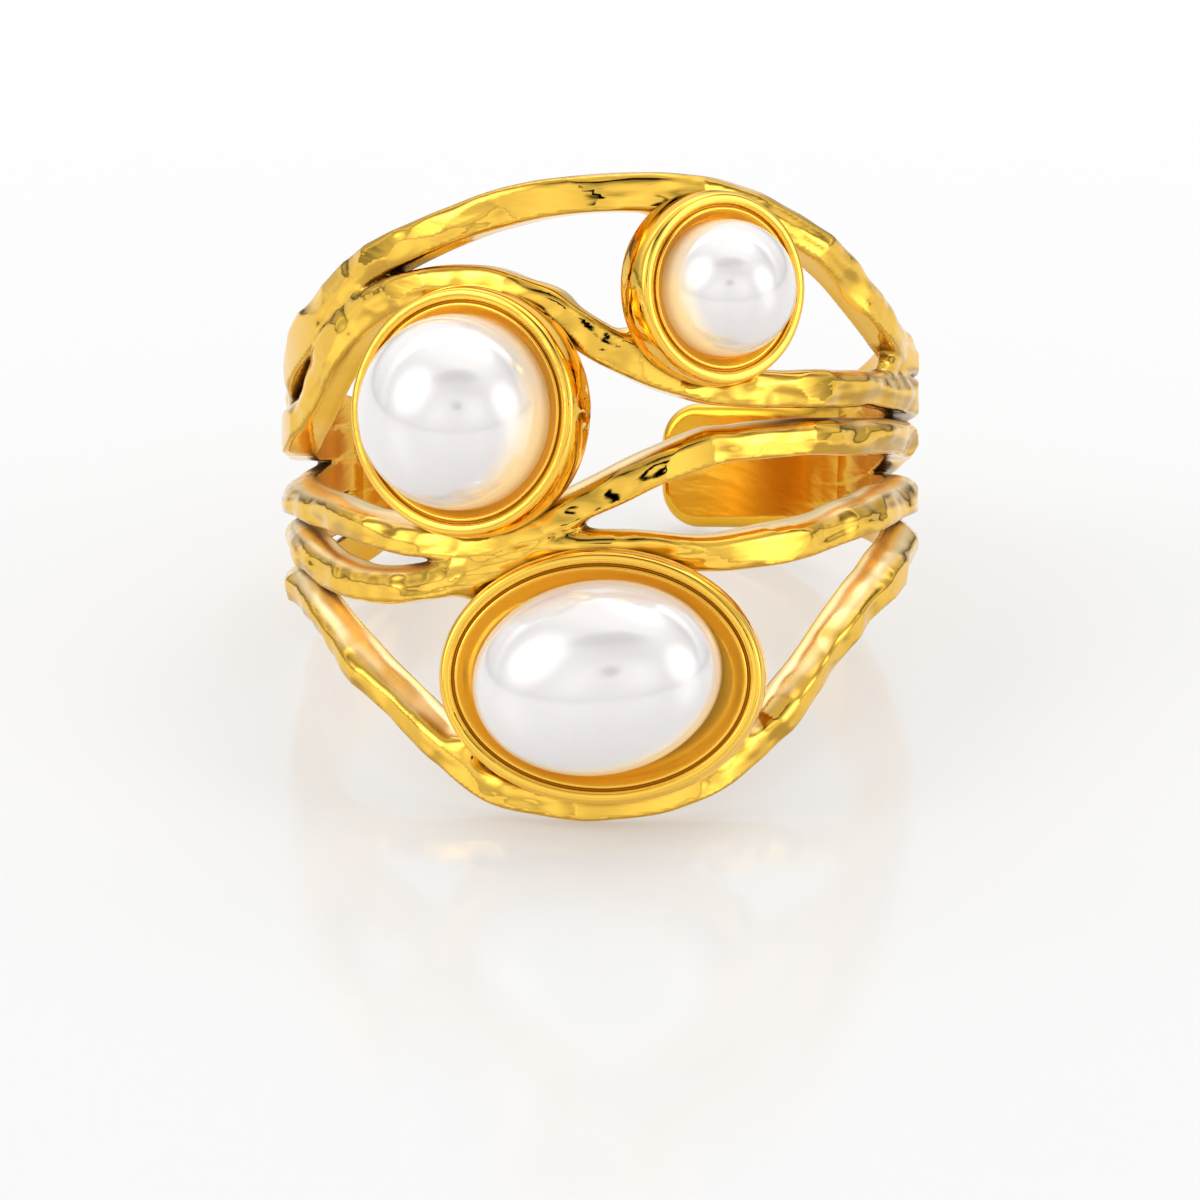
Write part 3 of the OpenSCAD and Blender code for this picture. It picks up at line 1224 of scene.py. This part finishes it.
class Value:
    """A number that varies over a surface, held by a node's socket."""

    def __init__(self, shade: "Shade", socket: bpy.types.NodeSocket) -> None:
        """Wrap a socket of a material that is being made."""
        self.shade = shade
        self.socket = socket

    def sum(self, kind: Maths, other: "Value | float", swap: bool = False) -> "Value":
        """Add a Math node on this value and another.

        Args:
            kind: What the node does.
            other: The other value.
            swap: Whether the other value comes first.

        Returns:
            The result.
        """
        pair = (other, self) if swap else (self, other)
        return self.shade.add("ShaderNodeMath", {"operation": kind.value}, {0: pair[0], 1: pair[1]})

    def __add__(self, other: "Value | float") -> "Value":
        """This value plus another."""
        return self.sum(Maths.ADD, other)

    def __radd__(self, other: float) -> "Value":
        """A number plus this value."""
        return self.sum(Maths.ADD, other, True)

    def __sub__(self, other: "Value | float") -> "Value":
        """This value less another."""
        return self.sum(Maths.SUBTRACT, other)

    def __rsub__(self, other: float) -> "Value":
        """A number less this value."""
        return self.sum(Maths.SUBTRACT, other, True)

    def __mul__(self, other: "Value | float") -> "Value":
        """This value times another."""
        return self.sum(Maths.MULTIPLY, other)

    def __rmul__(self, other: float) -> "Value":
        """A number times this value."""
        return self.sum(Maths.MULTIPLY, other, True)

    def root(self) -> "Value":
        """The square root of this value."""
        return self.shade.add("ShaderNodeMath", {"operation": Maths.ROOT.value}, {0: self})


class Shade:
    """A material that is being made, with one method for every node."""

    def __init__(self, name: str) -> None:
        """Start an empty material with a Principled shader.

        Args:
            name: The material's name.
        """
        self.material = bpy.data.materials.new(name)
        self.material.use_nodes = True
        self.nodes = self.material.node_tree.nodes
        self.links = self.material.node_tree.links
        self.shader = next(n for n in self.nodes if n.type == "BSDF_PRINCIPLED")

    def add(self, kind: str, settings: dict, inputs: dict, output: int | str = 0) -> Value:
        """Add a node.

        Args:
            kind: The node's type.
            settings: Its settings, which are set first. A ramp's stops are given as "stops".
            inputs: Values or links for its sockets.
            output: Which of its outputs is wanted.

        Returns:
            That output.
        """
        node = self.nodes.new(kind)
        for key, value in settings.items():
            if key == "stops":
                self.set_stops(node, value)
            else:
                setattr(node, key, value)
        for key, value in inputs.items():
            self.put(node.inputs[key], value)
        return Value(self, node.outputs[output])

    @staticmethod
    def set_stops(node: bpy.types.Node, stops: Sequence[tuple[float, tuple]]) -> None:
        """Give a ramp its stops.

        Args:
            node: The ramp's node.
            stops: A place and a colour for each stop, in order.
        """
        ramp = node.color_ramp
        while len(ramp.elements) < len(stops):
            ramp.elements.new(1.0)
        for element, (place, colour) in zip(ramp.elements, stops):
            element.position = place
            element.color = colour

    def put(self, socket: bpy.types.NodeSocket, value: "Value | float | tuple") -> None:
        """Link a value to a socket, or set the socket.

        Args:
            socket: The socket.
            value: A value of the surface, or a fixed number, colour or vector.
        """
        if isinstance(value, Value):
            self.links.new(value.socket, socket)
        else:
            socket.default_value = value

    def set(self, **sockets: "Value | float | tuple") -> None:
        """Set or link the shader's sockets, named with underscores."""
        for key, value in sockets.items():
            self.put(self.shader.inputs[key.replace("_", " ").title().replace("Ior", "IOR")], value)

    def place(self) -> Value:
        """The place on the object, in metres."""
        return self.add("ShaderNodeTexCoord", {}, {}, "Object")

    def blend(self, share: Value, first: "Value | tuple", second: "Value | tuple") -> Value:
        """Mix two colours: none of the second where share is 0, and only it where share is 1."""
        inputs = {"Factor": share, "A": first, "B": second}
        return self.add("ShaderNodeMix", {"data_type": "RGBA"}, inputs, "Result")

    def mark(self, name: str) -> Value:
        """A number that the mesh carries at each of its points."""
        return self.add("ShaderNodeAttribute", {"attribute_name": name}, {}, "Fac")

    def noise(
        self, size: float, detail: float = 2.0, rough: float = 0.5, squeeze: tuple = (1.0, 1.0, 1.0)
    ) -> Value:
        """Soft random patches.

        Args:
            size: How big a patch is, in millimetres.
            detail: How many finer layers there are.
            rough: How strong the finer layers are.
            squeeze: How many times smaller a patch is along each axis.

        Returns:
            A value about 0.5.
        """
        multiply = {"operation": "MULTIPLY"}
        spot = self.add("ShaderNodeVectorMath", multiply, {0: self.place(), 1: squeeze}, "Vector")
        inputs = {"Vector": spot, "Scale": 1.0 / (size * MM), "Detail": detail, "Roughness": rough}
        return self.add("ShaderNodeTexNoise", {}, inputs, "Fac")


@dataclass(frozen=True)
class GoldFinish:
    """Polished gold plating with the faint unevenness of hand work, painted shade in crevices, on edges and
    on inner faces, and a painted highlight on upper sides.

    Sizes are in millimetres, and shares are how much of another tone or how much roughness is added.
    """

    name: str = "polished_gold"
    colour: tuple = (0.95, 0.585, 0.082, 1.0)
    worn: tuple = (0.86, 0.50, 0.07, 1.0)
    # The deep tone is painted shade on the inner faces.
    deep: tuple = (0.82, 0.455, 0.03, 1.0)
    # The pale tone is a painted highlight on the upper sides.
    pale: tuple = (1.0, 0.84, 0.52, 1.0)
    # The dark tone is painted shade, in crevices, on strip edges and in the cups' grooves.
    dark: tuple = (0.20, 0.09, 0.012, 1.0)
    patch_size: float = 3.0
    worn_share: float = 0.6
    deep_patches: float = 0.9
    deep_share: float = 0.35
    painted_highlight_share: float = 0.8
    painted_shade_share: float = 0.9

    roughness: float = 0.02
    haze_size: float = 0.9
    haze: float = 0.045
    painted_shade_haze: float = 0.15
    satin_haze: float = 0.16
    brushed_haze: float = 0.3

    ripple_size: float = 0.5
    ripple_squeeze: tuple = (0.3, 0.3, 1.0)
    ripple_strength: float = 0.45
    ripple_height: float = 0.05

    def make(self) -> bpy.types.Material:
        """Make the material.

        Returns:
            The finished material.
        """
        shade = Shade(self.name)
        painted_shade = shade.mark(PAINTED_SHADE)
        satin_and_shade = shade.mark(SATIN_AND_SHADE)
        brushed_and_highlit = shade.mark(BRUSHED_AND_HIGHLIT)
        patch = shade.noise(self.patch_size)
        tone = shade.blend(patch * self.worn_share, self.colour, self.worn)
        # Painted shade: a deeper gold, in patches, on the rougher inner faces.
        tone = shade.blend(satin_and_shade * (patch * self.deep_patches + self.deep_share), tone, self.deep)
        # Painted highlight: the pale tone on the upper sides, which are also rougher from brushing.
        tone = shade.blend(brushed_and_highlit * self.painted_highlight_share, tone, self.pale)
        # Painted shade: the dark tone in crevices, on strip edges and in the cups' grooves.
        tone = shade.blend(painted_shade * self.painted_shade_share, tone, self.dark)
        rough = shade.noise(self.haze_size, detail=3.0) * self.haze + self.roughness
        rough = rough + painted_shade * self.painted_shade_haze + satin_and_shade * self.satin_haze + brushed_and_highlit * self.brushed_haze
        ripple = shade.noise(self.ripple_size, rough=0.45, squeeze=self.ripple_squeeze)
        height = {"Strength": self.ripple_strength, "Distance": self.ripple_height * MM, "Height": ripple}
        bump = shade.add("ShaderNodeBump", {}, height, "Normal")
        shade.set(base_color=tone, metallic=1.0, roughness=rough, normal=bump)
        return shade.material


@dataclass(frozen=True)
class PearlFinish:
    """White pearl with a soft lustre under a clear skin, with a painted warm reflection and glow where the
    gold would shine into it.
    """

    name: str = "white_pearl"
    colour: tuple = (0.83, 0.805, 0.80, 1.0)
    # The warm tone is a painted reflection of the gold, and the colour of the pearl's painted glow.
    warm: tuple = (1.0, 0.80, 0.44, 1.0)
    dark: tuple = (0.0, 0.0, 0.0, 1.0)
    painted_reflection_share: float = 0.85
    painted_glow_strength: float = 0.14
    roughness: float = 0.10
    cloud_size: float = 1.4
    cloud: float = 0.06
    lustre: float = 0.16
    ior: float = 2.0
    milk: float = 0.3
    milk_depth: float = 1.2

    def make(self) -> bpy.types.Material:
        """Make the material.

        Returns:
            The finished material.
        """
        shade = Shade(self.name)
        edge = shade.mark(PAINTED_GLOW)
        # Painted reflection: the warm tint where the gold would shine into the pearl.
        tone = shade.blend(edge * self.painted_reflection_share, self.colour, self.warm)
        cloud = shade.noise(self.cloud_size, detail=3.0)
        shade.set(base_color=tone, roughness=cloud * self.cloud + self.roughness)
        shade.set(metallic=self.lustre, ior=self.ior)
        shade.set(subsurface_weight=self.milk, subsurface_scale=self.milk_depth * MM)
        # Painted glow: the pearl gives off warm light there, though it is no lamp.
        shade.set(emission_color=shade.blend(edge, self.dark, self.warm), emission_strength=self.painted_glow_strength)
        return shade.material


@dataclass(frozen=True)
class FloorFinish:
    """A pale, slightly glossy light table."""

    name: str = "pale_floor"
    colour: tuple = (0.46, 0.46, 0.46, 1.0)
    light: tuple = (1.0, 1.0, 1.0, 1.0)
    glow: float = 0.355
    roughness: float = 0.10
    grain_size: float = 40.0
    grain: float = 0.04

    def make(self) -> bpy.types.Material:
        """Make the material.

        Returns:
            The finished material.
        """
        shade = Shade(self.name)
        grain = shade.noise(self.grain_size, detail=1.0)
        shade.set(base_color=self.colour, roughness=grain * self.grain + self.roughness)
        shade.set(emission_color=self.light, emission_strength=self.glow)
        return shade.material


@dataclass(frozen=True)
class Patch:
    """A soft-edged oval in the white room, brighter or darker than what is round it."""

    name: str
    direction: tuple[float, float, float]
    half_width: float
    half_height: float
    softness: float
    tone: float


# The bright and dark places of the room, each drawn over the ones before it.
# Columns: name, direction, half the width and height in degrees, softness of the edge, radiance there.
PATCHES = (
    Patch("lit wall behind", (0.0, 0.88, 0.47), 62.0, 20.0, 0.35, 1.0),
    Patch("wall in front", (0.0, -0.93, 0.37), 66.0, 25.0, 0.35, 0.83),
    Patch("front wall, bright on the left", (-0.42, -0.83, 0.37), 16.0, 13.0, 0.9, 1.3),
    Patch("front wall, bright on the right", (0.42, -0.83, 0.37), 16.0, 13.0, 0.9, 1.3),
    Patch("overhead", (0.1, 0.15, 0.98), 50.0, 26.0, 0.4, 1.2),
    Patch("strip light behind", (0.0, 0.62, 0.785), 50.0, 7.0, 0.7, 2.6),
    Patch("left light", (-0.765, -0.334, 0.552), 33.0, 36.0, 0.4, 0.85),
    Patch("left light's middle", (-0.765, -0.334, 0.552), 20.0, 23.0, 0.4, 2.2),
    Patch("left light's lamp", (-0.765, -0.334, 0.552), 9.0, 11.0, 0.5, 4.2),
    Patch("right light", (0.873, -0.350, 0.341), 26.0, 30.0, 0.4, 0.82),
    Patch("right light's middle", (0.873, -0.350, 0.341), 16.0, 20.0, 0.4, 2.1),
    Patch("right light's lamp", (0.873, -0.350, 0.341), 7.0, 9.0, 0.5, 3.8),
    Patch("top light", (0.28, 0.29, 0.917), 16.0, 12.0, 0.6, 2.4),
    Patch("gap over the camera", (0.03, -0.408, 0.912), 23.0, 8.0, 0.5, 0.0),
    Patch("camera and its cloth", (0.03, -0.852, 0.513), 6.0, 5.0, 0.4, 0.0),
)

# How bright the white room is at each height: sine of the elevation, then radiance.
ROOM_TONES = (
    (-1.0, 0.80),
    (-0.03, 0.62),
    (0.0, 0.06),
    (0.06, 0.06),
    (0.11, 0.24),
    (0.30, 0.20),
    (0.60, 0.22),
    (0.85, 0.40),
    (1.0, 0.70),
)


class Room(Shade):
    """The world's shader: a white room with a few lights and dark places."""

    brightest: float = 2.0
    facing_blur: float = 0.2

    def __init__(self, name: str) -> None:
        """Start an empty world with its Background shader.

        Args:
            name: The world's name.
        """
        self.world = bpy.data.worlds.new(name)
        self.world.use_nodes = True
        self.nodes = self.world.node_tree.nodes
        self.links = self.world.node_tree.links
        self.shader = self.nodes["Background"]

    def height_ramp(self, way: Value) -> Value:
        """Radiance by elevation.

        Args:
            way: The direction that is looked in.

        Returns:
            The radiance.
        """
        rise = self.add("ShaderNodeSeparateXYZ", {}, {0: way}, "Z")
        stops = [((z + 1) / 2, (tone / self.brightest,) * 3 + (1.0,)) for z, tone in ROOM_TONES]
        tones = self.add("ShaderNodeValToRGB", {"stops": stops}, {"Fac": rise * 0.5 + 0.5}, "Color")
        return tones * self.brightest

    def share(self, way: Value, patch: Patch) -> Value:
        """How much of a patch is seen in each direction.

        Args:
            way: The direction that is looked in.
            patch: The patch.

        Returns:
            1 in the middle of the patch and 0 outside it.
        """
        centre = Vector(patch.direction).normalized()
        right = Vector((0.0, 0.0, 1.0)).cross(centre).normalized()
        up = centre.cross(right)
        sideways = self.along(way, right / math.sin(math.radians(patch.half_width)))
        upward = self.along(way, up / math.sin(math.radians(patch.half_height)))
        facing = self.fade(self.along(way, centre), 0.0, self.facing_blur)
        away = (sideways * sideways + upward * upward).root()
        return self.fade(away, 1 + patch.softness, 1 - patch.softness) * facing

    def along(self, way: Value, axis: Vector) -> Value:
        """How far a direction reaches along an axis."""
        dot = {"operation": "DOT_PRODUCT"}
        return self.add("ShaderNodeVectorMath", dot, {0: way, 1: tuple(axis)}, "Value")

    def fade(self, value: Value, low: float, high: float) -> Value:
        """Go smoothly from 0 at low to 1 at high."""
        limits = {"From Min": low, "From Max": high, "Value": value}
        return self.add("ShaderNodeMapRange", {"interpolation_type": "SMOOTHSTEP"}, limits, "Result")


@dataclass
class Studio:
    """The floor, the white room and the camera."""

    pose: RingPose
    eye_distance: float = 150.0
    eye_height: float = 1.8
    look_down: float = 2.3
    lens: float = 140.4
    sensor: float = 36.0
    nearest: float = 0.005
    farthest: float = 10.0
    floor_size: float = 6.0
    backdrop: float = 0.93

    def build(self) -> None:
        """Set the whole studio up."""
        self.add_floor()
        self.add_world()
        self.add_camera()

    def add_floor(self) -> None:
        """Lay the floor under the ring."""
        half = self.floor_size / 2
        corners = [(-half, -half, 0.0), (half, -half, 0.0), (half, half, 0.0), (-half, half, 0.0)]
        floor = new_object("floor", np.array(corners), [(0, 1, 2, 3)])
        floor.data.materials.append(FloorFinish().make())

    def add_world(self) -> None:
        """Fill the room with soft light, and leave its far wall plain."""
        room = Room("white_room")
        way = room.add("ShaderNodeTexCoord", {}, {}, "Generated")
        light = room.height_ramp(way)
        for patch in PATCHES:
            share = room.share(way, patch)
            share.socket.node.label = patch.name
            light = light * (1.0 - share) + share * patch.tone
        seen = room.add("ShaderNodeLightPath", {}, {}, "Is Camera Ray")
        light = light * (1.0 - seen) + seen * self.backdrop
        room.put(room.shader.inputs["Color"], (1.0, 1.0, 1.0, 1.0))
        room.put(room.shader.inputs["Strength"], light)
        bpy.context.scene.world = room.world

    def add_camera(self) -> None:
        """Stand the camera where the photograph was taken from."""
        camera = bpy.data.cameras.new("camera")
        camera.lens = self.lens
        camera.sensor_width = self.sensor
        camera.clip_start = self.nearest
        camera.clip_end = self.farthest
        made = bpy.data.objects.new("camera", camera)
        place = self.pose.matrix() @ Vector((0.0, -self.eye_distance, self.eye_height))
        look = Matrix.Rotation(math.radians(90 - self.look_down - self.pose.lean), 4, "X")
        made.matrix_world = Matrix.Translation(place) @ look
        bpy.context.scene.collection.objects.link(made)
        bpy.context.scene.camera = made


LARGE_SEAT = Seat(-22.5, -25.0, 1.8)
SMALL_SEAT = Seat(20.0, 31.0, 5.5)
OVAL_SEAT = Seat(0.0, -6.0, -6.1)

# Columns: name, seat, width, height, seed of its waves.
CUPS = (
    ("cup_large", LARGE_SEAT, 7.4, 7.4, 3),
    ("cup_small", SMALL_SEAT, 5.7, 5.7, 5),
    ("cup_oval", OVAL_SEAT, 9.65, 7.5, 7),
)

# Columns: name, the node it stands for, seat, width, height, rise, how far it is moved to the right, the
# side with the painted reflection and glow in degrees from the right, turn in its cup, lift out of it.
PEARLS = (
    ("large_pearl", "pearl_large", LARGE_SEAT, 5.88, 5.88, 2.88, -0.13, -35.0, 0.0, 0.0),
    ("small_pearl", "pearl_small", SMALL_SEAT, 4.1, 4.1, 2.05, 0.06, 215.0, 0.0, 0.0),
    ("oval_pearl", "pearl_oval", OVAL_SEAT, 7.45, 5.8, 2.5, -0.10, -55.0, 9.0, 0.06),
)


def main() -> None:
    """Build the ring and its studio."""
    logging.basicConfig(level=logging.INFO, format="%(name)s %(message)s")
    pose = RingPose()
    gold = GoldFinish().make()
    pearl = PearlFinish().make()
    cups = [PearlCup(name, seat, pose, *sizes) for name, seat, *sizes in CUPS]
    band = HammeredBand(pose, cups)
    band.build(gold)
    for cup in cups:
        cup.build(gold, band)
    for name, node, seat, *sizes in PEARLS:
        HalfPearl(name, node, seat, pose, *sizes).build(pearl)
    Studio(pose).build()
    bpy.context.scene.view_settings.view_transform = "Standard"
    bpy.context.view_layer.update()


if __name__ == "__main__":
    main()
